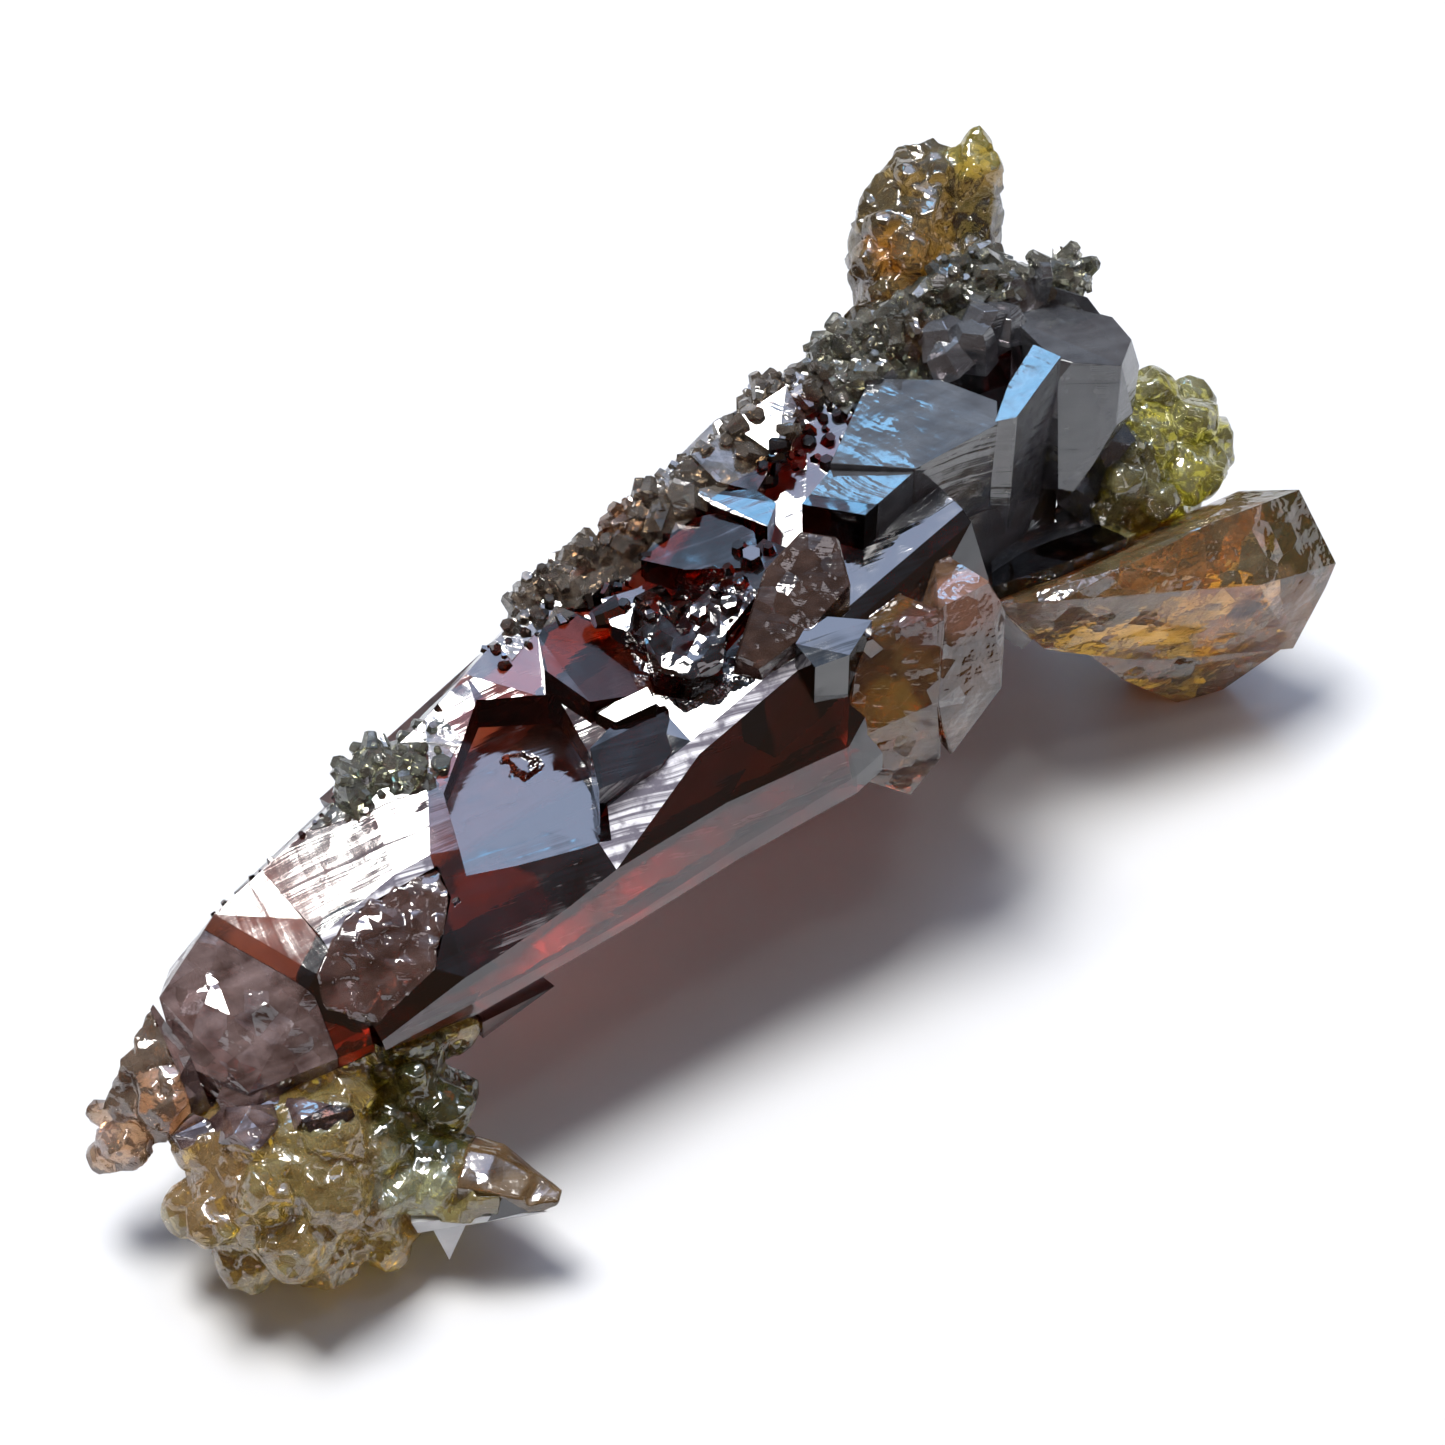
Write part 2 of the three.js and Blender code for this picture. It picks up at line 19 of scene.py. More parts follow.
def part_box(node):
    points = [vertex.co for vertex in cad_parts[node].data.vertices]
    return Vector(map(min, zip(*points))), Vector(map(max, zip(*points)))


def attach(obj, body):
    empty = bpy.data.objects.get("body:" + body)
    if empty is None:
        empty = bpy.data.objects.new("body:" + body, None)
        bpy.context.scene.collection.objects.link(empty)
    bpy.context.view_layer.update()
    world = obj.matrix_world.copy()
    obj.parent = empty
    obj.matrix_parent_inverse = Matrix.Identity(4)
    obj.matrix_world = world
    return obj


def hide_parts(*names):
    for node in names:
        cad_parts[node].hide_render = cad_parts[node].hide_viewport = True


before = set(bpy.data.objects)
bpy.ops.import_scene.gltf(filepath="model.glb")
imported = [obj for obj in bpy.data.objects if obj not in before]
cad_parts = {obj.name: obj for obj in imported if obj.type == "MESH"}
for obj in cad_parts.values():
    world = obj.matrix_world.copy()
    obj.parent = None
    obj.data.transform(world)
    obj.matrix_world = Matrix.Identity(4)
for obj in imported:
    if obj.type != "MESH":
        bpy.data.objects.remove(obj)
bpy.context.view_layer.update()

scene = bpy.context.scene
MM = 0.001
LOW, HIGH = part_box("zincite_crystal")
# The stone's own frame, in millimetres: X along the trunk, Z = 0 the ground. Its lowest corner is
# at these numbers, so any place on the stone can be told in the frame it grew in.
LOW_CORNER = Vector((-23.38, -11.33, 0.0))
SHIFT = LOW / MM - LOW_CORNER
print("stone, mm:", [round(v / MM, 1) for v in HIGH - LOW], "shift", [round(v, 2) for v in SHIFT])


# %% A helper for node trees
def add_node(tree, kind, inputs=None, **settings):
    """A new node with its settings made. An input is either a value or another node's output."""
    made = tree.nodes.new(kind)
    for key, value in settings.items():
        setattr(made, key, value)
    for key, value in (inputs or {}).items():
        if isinstance(value, bpy.types.NodeSocket):
            tree.links.new(value, made.inputs[key])
        else:
            made.inputs[key].default_value = value
    return made


# %% [markdown]
# ## Camera, light and ground
# Clear, polished faces show what they mirror, so the room matters as much as the stone. A
# ready-made panorama could be wrapped round the scene, but then no one reflection could be moved.
# Here level faces mirror a pale sky high behind the stone, a bright lamp stands just above it, and
# the side towards the viewer is left dark, so that steep faces show the colour inside the crystal.

# %% Camera
TARGET = SHIFT * MM
CAMERA_AZIMUTH, CAMERA_ELEVATION, CAMERA_DISTANCE = -39, 52, 0.117


def aim(obj, place, at):
    """Puts an object at a place, looking at another place."""
    obj.location = place
    obj.rotation_euler = (Vector(at) - Vector(place)).to_track_quat("-Z", "Y").to_euler()
    scene.collection.objects.link(obj)


def toward(azimuth, elevation, distance):
    """A place at a distance from the target, seen at an azimuth and elevation in degrees."""
    a, e = math.radians(azimuth), math.radians(elevation)
    way = Vector((math.sin(a) * math.cos(e), -math.cos(a) * math.cos(e), math.sin(e)))
    return TARGET + way * distance


camera = bpy.data.objects.new("camera", bpy.data.cameras.new("camera"))
camera.data.lens = 100
camera.data.sensor_width = 36
camera.data.clip_start = 0.002
camera.data.clip_end = 5
aim(camera, toward(CAMERA_AZIMUTH, CAMERA_ELEVATION, CAMERA_DISTANCE), TARGET)
scene.camera = camera
print("camera, mm:", [round(v / MM, 1) for v in camera.location])

# %% Soft boxes
LIGHT_DISTANCE = 0.5


def softbox(name, azimuth, elevation, size, watts, colour):
    """A flat rectangular light that faces the stone."""
    light = bpy.data.lights.new(name, "AREA")
    light.shape = "RECTANGLE"
    light.size, light.size_y = size
    light.energy = watts
    light.color = colour
    aim(bpy.data.objects.new(name, light), toward(azimuth, elevation, LIGHT_DISTANCE), TARGET)
    print(f"{name:14} {watts} W from azimuth {azimuth}, elevation {elevation}")


softbox("lamp", 190, 74, (0.17, 0.17), 3.3, (1.0, 0.98, 0.95))
softbox("blue window", 149, 45, (0.08, 0.09), 0.12, (0.2, 0.58, 1.0))
softbox("small lamp", 48, 73, (0.05, 0.05), 0.08, (1.0, 0.98, 0.96))
softbox("dim strip", 349, 57, (0.16, 0.08), 0.065, (0.95, 0.92, 1.0))

# %% Sky
# Each step is how near a direction comes to the middle of the sky (1 is the middle itself), and
# how bright the sky is there.
SKY_MIDDLE = (0.302, 0.360, 0.883)
SKY_STEPS = (
    (0.0, (0.13, 0.075, 0.05)),
    (0.6, (0.13, 0.105, 0.105)),
    (0.85, (0.24, 0.28, 0.36)),
    (0.95, (0.5, 0.65, 0.9)),
    (0.985, (2.0, 2.4, 3.4)),
)
SKY_STRENGTH = 4

scene.world = bpy.data.worlds.new("room")
scene.world.use_nodes = True
sky = scene.world.node_tree
way = add_node(sky, "ShaderNodeTexCoord").outputs["Generated"]
nearness = add_node(sky, "ShaderNodeVectorMath", {0: way, 1: SKY_MIDDLE}, operation="DOT_PRODUCT")
glow = add_node(sky, "ShaderNodeValToRGB", {"Fac": nearness.outputs["Value"]})
while len(glow.color_ramp.elements) < len(SKY_STEPS):
    glow.color_ramp.elements.new(0.5)
for stop, (place, colour) in zip(glow.color_ramp.elements, SKY_STEPS):
    stop.position = place
    stop.color = (*[share / SKY_STRENGTH for share in colour], 1)
sky.links.new(glow.outputs["Color"], sky.nodes["Background"].inputs["Color"])
sky.nodes["Background"].inputs["Strength"].default_value = SKY_STRENGTH
print("sky:", len(SKY_STEPS), "steps, brightest", SKY_STEPS[-1][1])

# %% Light paths
# Clear crystal needs many bounces, but those past the seventh cost time and add next to nothing.
scene.view_settings.view_transform = "Standard"
scene.cycles.use_denoising = True
scene.cycles.max_bounces = 7
scene.cycles.transmission_bounces = 7
scene.cycles.glossy_bounces = 3
scene.cycles.diffuse_bounces = 2
scene.cycles.use_light_tree = False
scene.cycles.sample_clamp_indirect = 40
scene.cycles.blur_glossy = 0.5
print("bounces:", scene.cycles.max_bounces)

# %% Ground
GROUND_REACH = 1.5
GROUND_CORNERS = [(x * GROUND_REACH, y * GROUND_REACH, 0)
                  for x, y in ((-1, -1), (1, -1), (1, 1), (-1, 1))]
ground_mesh = bpy.data.meshes.new("ground")
ground_mesh.from_pydata(GROUND_CORNERS, [], [(0, 1, 2, 3)])
ground = bpy.data.objects.new("ground", ground_mesh)
scene.collection.objects.link(ground)
paper = bpy.data.materials.new("pale_ground")
paper.use_nodes = True
paper_surface = paper.node_tree.nodes["Principled BSDF"]
paper_surface.inputs["Base Color"].default_value = (0.66, 0.67, 0.68, 1)
paper_surface.inputs["Roughness"].default_value = 0.9
ground_mesh.materials.append(paper)
print("ground, m:", 2 * GROUND_REACH, "square")

# %% [markdown]
# ## Clear materials
# Zincite bends light strongly and swallows blue and green within a few millimetres. Its colour
# could be a tint on the surface, but then thick and thin places would look alike. It is set as
# absorption instead, so that thin edges glow and thick places go dark. A cloudy tint on the
# surface stands in for the veils and tiny cracks inside, and patterns of bumps give the growth
# lines, pits and small facets that are too fine to be worth a mesh.

# %% Pattern helpers
MIX_FACTOR, MIX_A, MIX_B, MIX_RESULT = 0, 6, 7, 2


class Pattern:
    """The node tree of one material, with places told in the stone's own millimetres."""

    def __init__(self, name):
        self.material = bpy.data.materials.new(name)
        self.material.use_nodes = True
        self.tree = self.material.node_tree
        self.surface = self.tree.nodes["Principled BSDF"]
        where = self.add("ShaderNodeTexCoord").outputs["Object"]
        in_mm = {"Vector": where, "Location": -SHIFT, "Scale": (1 / MM,) * 3}
        self.place = self.add("ShaderNodeMapping", in_mm).outputs[0]

    def add(self, kind, inputs=None, **settings):
        return add_node(self.tree, kind, inputs, **settings)

    def math(self, operation, a, b=0.0):
        return self.add("ShaderNodeMath", {0: a, 1: b}, operation=operation).outputs[0]

    def plus(self, a, b):
        return self.math("ADD", a, b)

    def times(self, a, b):
        return self.math("MULTIPLY", a, b)

    def vector(self, operation, a, b, result=0):
        made = self.add("ShaderNodeVectorMath", {0: a, 1: b}, operation=operation)
        return made.outputs[result]

    def ramp(self, value, low, high, to_low=0.0, to_high=1.0):
        """A soft step from one value to another."""
        inputs = {"Value": value, "From Min": low, "From Max": high,
                  "To Min": to_low, "To Max": to_high}
        return self.add("ShaderNodeMapRange", inputs, interpolation_type="SMOOTHSTEP").outputs[0]

    def noise(self, size, detail=3.0, offset=(0, 0, 0)):
        spot = self.vector("ADD", self.place, offset)
        inputs = {"Vector": spot, "Scale": 1 / size, "Detail": detail}
        return self.add("ShaderNodeTexNoise", inputs).outputs["Fac"]

    def across(self, way):
        """How far along a direction each place lies."""
        return self.vector("DOT_PRODUCT", self.place, way, "Value")

    def lines(self, way, width):
        """Growth lines: steps that change only along one direction."""
        wobble = self.times(self.noise(2.5, 1.0), 0.5)
        inputs = {"W": self.plus(self.across(way), wobble), "Scale": 1 / width, "Detail": 3.0}
        return self.add("ShaderNodeTexNoise", inputs, noise_dimensions="1D").outputs["Fac"]

    def cells(self, size):
        return self.add("ShaderNodeTexVoronoi", {"Vector": self.place, "Scale": 1 / size}).outputs

    def pits(self, size, share):
        """Ragged pits in a share of the cells of a loose grid."""
        cells = self.cells(size)
        draw = self.add("ShaderNodeSeparateColor", {0: cells["Color"]}).outputs[0]
        chosen = self.math("LESS_THAN", draw, share)
        ragged = self.times(self.noise(0.3 * size, 2.0), 0.35)
        away = self.plus(cells["Distance"], ragged)
        return self.times(self.ramp(away, 0.28, 0.42, 1.0, 0.0), chosen)

    def facets(self, size):
        """Flat cells, each tilted its own way, as heights in millimetres."""
        cells = self.cells(size)
        away = self.vector("SUBTRACT", self.place, cells["Position"])
        tilt = self.vector("SUBTRACT", cells["Color"], (0.5, 0.5, 0.5))
        return self.vector("DOT_PRODUCT", away, tilt, "Value")

    def patch(self, centre, reach, soft=0.5, ragged=0.6):
        """1 inside a ragged round patch, 0 outside."""
        away = self.vector("DISTANCE", self.place, centre, "Value")
        rough = self.times(self.math("SUBTRACT", self.noise(0.8, 3.0), 0.5), 2 * ragged)
        return self.ramp(self.plus(away, rough), reach - soft, reach, 1.0, 0.0)

    def blend(self, share, a, b):
        a, b = [(*c, 1) if isinstance(c, tuple) else c for c in (a, b)]
        inputs = {MIX_FACTOR: share, MIX_A: a, MIX_B: b}
        return self.add("ShaderNodeMix", inputs, data_type="RGBA").outputs[MIX_RESULT]

    def bump(self, height, depth, below=None):
        """A relief so many millimetres deep, on top of the one below it."""
        inputs = {"Height": height, "Distance": depth * MM, "Strength": 1.0}
        if below is not None:
            inputs["Normal"] = below
        return self.add("ShaderNodeBump", inputs).outputs[0]

    def finished(self, colour, roughness, normal):
        """The material, with its patterns led to the surface."""
        for name, value in (("Base Color", colour), ("Roughness", roughness), ("Normal", normal)):
            self.tree.links.new(value, self.surface.inputs[name])
        print(f"{self.material.name:14} {len(self.tree.nodes)} nodes")
        return self.material


# %% Clear body
ZINCITE_INDEX = 2.0
# The colour that is swallowed most keeps a trace, so that the tint of the depth is never 0.
STRONGEST_LOSS = 0.99


def clear(look, absorb, transmission=1.0):
    """Clear crystal. `absorb` is the share of each colour that one millimetre lets through."""
    look.surface.inputs["IOR"].default_value = ZINCITE_INDEX
    look.surface.inputs["Transmission Weight"].default_value = transmission
    losses = [-math.log(share) / MM for share in absorb]
    density = max(losses) / STRONGEST_LOSS
    tint = (*[1 - loss / density for loss in losses], 1)
    depth = look.add("ShaderNodeVolumeAbsorption", {"Density": density, "Color": tint})
    inside = look.tree.nodes["Material Output"].inputs["Volume"]
    look.tree.links.new(depth.outputs["Volume"], inside)


# %% [markdown]
# ## One material for every small crystal
# The smaller crystals of the cluster differ in colour, cloudiness and roughness, and hardly in
# anything else. Each could have a tree of its own, but one recipe with its values in a table is
# easier to tune against its neighbours. A few crystals also get ragged patches of another tint.

# %% Looks
# Each row: the slot, the share of red, green and blue that one millimetre lets through, the dark
# and the light tint of the surface, how clear it is, the depth of its relief, and where it has
# them the size and the tilt of its facets.
LOOKS = {
    "head": ("zincite_slate", (0.62, 0.57, 0.56),
             (0.22, 0.23, 0.26), (0.46, 0.49, 0.54), 0.82, 0.028),
    "upright": ("zincite_amber", (0.75, 0.5, 0.4),
                (0.09, 0.05, 0.04), (0.34, 0.21, 0.17), 0.8, 0.1, 0.5, 0.35),
    "pitted_face": ("zincite_crust", (0.62, 0.4, 0.34),
                    (0.1, 0.045, 0.035), (0.38, 0.23, 0.2), 0.75, 0.05, 0.35, 0.3),
    "shoulder": ("zincite_crust", (0.7, 0.5, 0.46),
                 (0.08, 0.04, 0.035), (0.5, 0.36, 0.35), 0.6, 0.12, 0.6, 0.7),
    "right_crest": ("zincite_crust", (0.8, 0.78, 0.68),
                    (0.18, 0.19, 0.15), (0.85, 0.84, 0.74), 0.88, 0.06, 0.4, 0.35),
    "rear_crest": ("zincite_crust", (0.66, 0.56, 0.44),
                   (0.2, 0.17, 0.14), (0.8, 0.72, 0.62), 0.88, 0.04, 0.4, 0.08),
    "left_crest": ("zincite_crust", (0.7, 0.68, 0.5),
                   (0.3, 0.31, 0.27), (0.75, 0.77, 0.7), 0.9, 0.05),
    "tip": ("zincite_amber", (0.85, 0.65, 0.48),
            (0.32, 0.22, 0.15), (0.8, 0.64, 0.48), 0.85, 0.05, 0.3, 0.3),
    "blade": ("zincite_pale", (0.93, 0.94, 0.96),
              (0.8, 0.84, 0.88), (0.95, 0.97, 1), 0.35, 0.02),
    "left_point": ("zincite_amber", (0.72, 0.52, 0.28),
                   (0.13, 0.075, 0.035), (0.36, 0.23, 0.1), 0.6, 0.05, 0.6, 0.2),
    "left_cluster": ("zincite_green", (0.95, 0.88, 0.45),
                     (0.62, 0.44, 0.14), (1.0, 0.9, 0.42), 0.82, 0.08, 0.26, 0.55),
    "front_block": ("zincite_amber", (0.92, 0.7, 0.3),
                    (0.2, 0.1, 0.04), (0.8, 0.48, 0.17), 0.88, 0.18, 0.6, 0.7),
    "front_slab": ("zincite_crust", (0.8, 0.62, 0.48),
                   (0.11, 0.055, 0.03), (0.4, 0.23, 0.13), 0.65, 0.2, 0.7, 0.5),
    "right_prism": ("zincite_amber", (0.95, 0.8, 0.34),
                    (0.32, 0.25, 0.11), (1.0, 0.8, 0.42), 0.88, 0.2, 0.8, 0.45),
    "right_cluster": ("zincite_green", (0.88, 0.86, 0.42),
                      (0.45, 0.42, 0.14), (0.95, 0.93, 0.52), 0.85, 0.08, 0.3, 0.35),
    "low_cluster": ("zincite_green", (0.88, 0.84, 0.42),
                    (0.3, 0.25, 0.08), (0.85, 0.8, 0.38), 0.8, 0.08, 0.3, 0.35),
    "spire": ("zincite_amber", (0.84, 0.7, 0.38),
              (0.14, 0.1, 0.045), (0.62, 0.5, 0.24), 0.85, 0.05, 0.3, 0.3),
}
# Each patch: its middle, its reach in millimetres, and its tint.
PATCHES = {
    "left_cluster": (((-21.6, -5.6, 4.6), 2.0, (0.8, 0.55, 0.25)),
                     ((-20.4, -6.6, 4.2), 1.0, (0.95, 0.55, 0.12)),
                     ((-17.4, -8.6, 3.4), 1.3, (0.85, 0.95, 0.65)),
                     ((-15.8, -7.2, 3.8), 2.1, (0.13, 0.15, 0.06))),
    "front_block": (((-1.1, -8.0, 8.9), 1.3, (1.0, 0.58, 0.12)),
                    ((0.6, -7.4, 11.3), 1.0, (0.6, 0.32, 0.22))),
    "front_slab": (((2.2, -7.8, 11.2), 1.2, (0.6, 0.3, 0.2)),),
    "right_prism": (((14.3, -8.4, 6.2), 1.9, (0.3, 0.28, 0.09)),
                    ((12.4, -9.2, 3.4), 2.2, (1.0, 0.62, 0.2)),
                    ((11.6, -9.0, 5.2), 0.8, (0.12, 0.05, 0.02))),
    "spire": (((11.0, 2.5, 14.7), 1.1, (1.0, 0.86, 0.16)),
              ((7.3, 1.8, 13.2), 0.9, (0.95, 0.48, 0.14)),
              ((10.6, 1.2, 12.9), 1.4, (0.12, 0.12, 0.08))),
    "tip": (((-22.6, -2.8, 3.6), 0.8, (0.95, 0.72, 0.6)),),
    "rear_crest": (((-3.4, 0.3, 11.2), 1.0, (0.5, 0.26, 0.14)),
                   ((2.4, -0.6, 12.4), 0.8, (0.25, 0.09, 0.07))),
    "right_crest": (((6.2, -1.0, 13.0), 0.8, (0.35, 0.18, 0.09)),),
}


# %% Crystal material
def crystal_material(name, absorb, dark, light, transmission, relief,
                     facet_size=0.5, facet_tilt=0.0):
    """One crystal's material: cloudy tint, gentle relief, fine growth lines and flat facets."""
    look = Pattern(name)
    clear(look, absorb, transmission)
    streaks = look.times(look.ramp(look.lines((0.25, 0.9, 0.35), 0.5), 0.3, 0.7), 0.45)
    cloud = look.times(look.ramp(look.noise(0.9, 4.0), 0.35, 0.65), 0.55)
    body = look.blend(look.plus(cloud, streaks), dark, light)
    for centre, reach, tint in PATCHES.get(name, ()):
        body = look.blend(look.patch(centre, reach, 0.4, 0.5), body, tint)
    normal = look.bump(look.lines((0.3, 0.2, 0.9), 0.3), 0.02)
    normal = look.bump(look.noise(1.0, 3.0), relief, normal)
    if facet_tilt:
        normal = look.bump(look.facets(facet_size), facet_tilt, normal)
    roughness = look.ramp(look.noise(0.5, 3.0), 0.3, 0.8, 0.04, 0.2)
    return look.finished(body, roughness, normal)


MATERIALS = {zone: (slot, crystal_material(zone, *look))
             for zone, (slot, *look) in LOOKS.items()}

# %% [markdown]
# ## The trunk's material
# The trunk is one deep red crystal, but its faces don't look alike: the roof is grey where it is
# polished, the front is nearly black, and the underside and the rear are rough and pale. The
# darkness of the front and of the upright faces is painted shade in the skin's tint. It could be cut
# into more pieces, but the colour inside has to run through it unbroken. So it is one material, and
# masks that follow height, depth and how level a face is change only its skin.


# %% Trunk material
def trunk_body(look, cloud, depth, rough_side):
    """The tint of the trunk's skin, from the roof down to the rough underside, with painted shade on
    the upright faces and the front.
    """
    level = look.add("ShaderNodeAttribute", attribute_name="level").outputs["Fac"]
    forward = look.ramp(depth, -4.6, -4.2, 1.0, 0.0)
    front = look.times(forward, look.ramp(look.across((-0.14, 0, 1)), 9.1, 9.3))
    # A patch where the front's painted shade is lighter and redder, so that red light shows through.
    less_shaded_patch = look.patch((-12.4, -6.2, 8.2), 1.5, 0.4, 0.9)
    roof_tint = look.blend(cloud, (0.1, 0.11, 0.115), (0.36, 0.37, 0.38))
    # Painted shade: the front part of the trunk gets a darker skin.
    forward_painted_shade = look.blend(cloud, (0.06, 0.035, 0.035), (0.2, 0.14, 0.14))
    # Painted shade: the front face's skin is tinted nearly black.
    front_painted_shade = look.blend(cloud, (0.0012, 0.0006, 0.001), (0.006, 0.002, 0.003))
    # Painted shade: upright faces get a darker skin than level ones.
    body = look.blend(level, (0.03, 0.02, 0.018), roof_tint)
    body = look.blend(forward, body, forward_painted_shade)
    body = look.blend(front, body, front_painted_shade)
    body = look.blend(less_shaded_patch, body, (0.06, 0.014, 0.01))
    return look.blend(rough_side, body, (0.55, 0.55, 0.62))


def trunk_relief(look, striated):
    """Growth lines, slow waves, pits and broken ground on the trunk."""
    chipped = look.patch((-12.2, -6.3, 8.2), 1.9, 0.6, 1.2)
    broken = look.patch((-4.2, -4.1, 11.2), 1.9, 0.6, 0.6)
    hollow = look.patch((-9.2, -3.0, 8.7), 0.5, 0.3, 0.7)
    coarse_lines = look.times(look.lines((0.97, -0.2, 0.1), 0.6), striated)
    normal = look.bump(look.lines((0.25, 0.95, 0.2), 0.35), 0.009)
    normal = look.bump(coarse_lines, 0.016, normal)
    normal = look.bump(look.noise(2.2, 2.0), 0.09, normal)
    normal = look.bump(look.times(look.pits(0.6, 0.16), chipped), -0.13, normal)
    normal = look.bump(look.times(look.noise(1.3, 2.0, (5, 0, 0)), broken), 0.35, normal)
    normal = look.bump(look.times(look.facets(0.7), broken), 0.5, normal)
    return look.bump(hollow, -0.1, normal)


def trunk_material():
    """Deep red inside, with a dark skin wherever the faces are polished, and painted shade on the
    front.
    """
    look = Pattern("trunk")
    clear(look, (0.93, 0.62, 0.49))
    cloud = look.noise(1.6, 4.0)
    _, depth, height = look.add("ShaderNodeSeparateXYZ", {0: look.place}).outputs
    below = look.ramp(look.plus(height, cloud), 5.3, 6.1, 1.0, 0.0)
    behind = look.ramp(look.across((-0.17, 1, 0)), 1.9, 2.3)
    rough_side = look.math("MAXIMUM", below, behind)
    rough_side = look.times(rough_side, look.ramp(depth, -6.6, -6.2))
    striated = look.patch((-16.2, -2.6, 8.4), 2.9, 0.8, 0.8)
    polish = look.ramp(look.noise(0.7, 3.0), 0.3, 0.8, 0.03, 0.14)
    polish = look.plus(polish, look.times(striated, 0.08))
    roughness = look.math("MAXIMUM", polish, look.times(rough_side, 0.3))
    body = trunk_body(look, cloud, depth, rough_side)
    return look.finished(body, roughness, trunk_relief(look, striated))


MATERIALS["trunk"] = ("zincite_red", trunk_material())

# %% [markdown]
# ## The ridge's painted highlight
# Along the front of the roof, the trunk's edge carries a painted highlight: a bright line painted
# into the colour, not made by a lamp. A pale clear material would still show the dark crystal behind
# it, because light goes through it. So this one lets nothing through: its tint runs in streaks and
# chips from grey to nearly white.


# %% Painted ridge highlight material
def ridge_highlight_material():
    """A painted highlight along the ridge: pale streaks and chips that let no light through."""
    look = Pattern("worn_ridge")
    streaks = look.ramp(look.lines((0.3, 0.85, 0.45), 0.2), 0.4, 0.6)
    chips = look.ramp(look.noise(0.5, 4.0), 0.35, 0.55)
    # Painted highlight: grey to nearly white in streaks and chips, whatever the light.
    body = look.blend(look.times(streaks, chips), (0.16, 0.15, 0.19), (0.9, 0.9, 0.95))
    roughness = look.ramp(look.noise(0.3, 3.0), 0.3, 0.8, 0.15, 0.4)
    return look.finished(body, roughness, look.bump(look.noise(0.25, 4.0), 0.03))


RIDGE_HIGHLIGHT = ridge_highlight_material()

# %% [markdown]
# ## Cutting the stone into its crystals
# Each crystal of the cluster has its own colour, so each becomes a closed piece of its own. They
# could be modelled one by one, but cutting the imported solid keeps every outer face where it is. A
# zone is a convex block round one crystal: what lies inside it is cut off, what lies outside
# stays. The cut is a hair wider than the piece taken out, so that two clear solids never share a
# face.


# %% Work meshes in millimetres
def link(name, mesh):
    obj = bpy.data.objects.new(name, mesh)
    scene.collection.objects.link(obj)
    return obj


def drop(*objs):
    for obj in objs:
        bpy.data.objects.remove(obj)


def hull_mesh(name, corners, grow=1.0):
    """A convex block from its corners, grown about its middle."""
    middle = sum((Vector(c) for c in corners), Vector()) / len(corners)
    bm = bmesh.new()
    for c in corners:
        bm.verts.new(middle + (Vector(c) - middle) * grow)
    bmesh.ops.convex_hull(bm, input=bm.verts)
    bmesh.ops.recalc_face_normals(bm, faces=bm.faces)
    mesh = bpy.data.meshes.new(name)
    bm.to_mesh(mesh)
    bm.free()
    return link(name, mesh)


def settled(obj):
    """The object with its modifiers made part of its mesh."""
    graph = bpy.context.evaluated_depsgraph_get()
    mesh = bpy.data.meshes.new_from_object(obj.evaluated_get(graph))
    name = obj.name
    drop(obj)
    return link(name, mesh)


def cut(obj, tool, operation, name):
    """What is left of a copy of the object inside a tool, or outside it."""
    copy = link(name, obj.data.copy())
    mod = copy.modifiers.new("cut", "BOOLEAN")
    mod.operation = operation
    mod.object = tool
    mod.solver = "MANIFOLD"
    return settled(copy)


# %% The whole stone
SAME_CORNER = 1e-4
NO_LENGTH = 1e-5


def whole_stone():
    """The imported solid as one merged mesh, in millimetres, in the frame it grew in."""
    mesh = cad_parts["zincite_crystal"].data.copy()
    bm = bmesh.new()
    bm.from_mesh(mesh)
    bmesh.ops.scale(bm, vec=(1 / MM,) * 3, verts=bm.verts)
    bmesh.ops.translate(bm, vec=-SHIFT, verts=bm.verts)
    bmesh.ops.remove_doubles(bm, verts=bm.verts, dist=SAME_CORNER)
    bmesh.ops.dissolve_degenerate(bm, edges=bm.edges, dist=NO_LENGTH)
    bm.to_mesh(mesh)
    open_edges = sum(not e.is_manifold for e in bm.edges)
    print("whole stone:", len(bm.verts), "corners, open edges:", open_edges)
    bm.free()
    mesh.materials.clear()
    for layer in ("custom_normal", "sharp_face", "sharp_edge"):
        if layer in mesh.attributes:
            mesh.attributes.remove(mesh.attributes[layer])
    mesh.shade_flat()
    return link("rest", mesh)


# %% Zones of the front and right
PRISM = [(4.8, -6.0, 7.4), (6.2, -7.1, 7.5), (8.2, -7.4, 7.7), (11.3, -7.7, 7.6),
         (14.6, -7.9, 6.8), (14.8, -9.5, 4.9), (14.4, -9.6, 4.2), (11.8, -9.3, 6.0),
         (6.3, -6.6, 4.8), (9.3, -7.7, 3.0), (13.3, -9.7, 2.4), (12.6, -8.6, 2.0),
         (13.6, -6.6, 4.0), (13.8, -6.4, 6.0), (6.0, -4.2, 5.0), (9.0, -5.4, 3.0),
         (13.4, -7.6, -0.5), (10.4, -8.6, -0.5), (10.0, -5.8, -0.5), (12.6, -5.6, -0.5)]
BLOCK = [(-0.9, -6.8, 10.8), (1.2, -7.7, 11.4), (0.3, -8.6, 9.2), (0.3, -8.9, 7.0),
         (-0.4, -8.6, 5.7), (-2.1, -7.8, 7.2), (-2.1, -7.7, 8.4), (1.0, -5.5, 10.5),
         (1.0, -6.0, 6.5), (-1.5, -6.0, 7.0)]
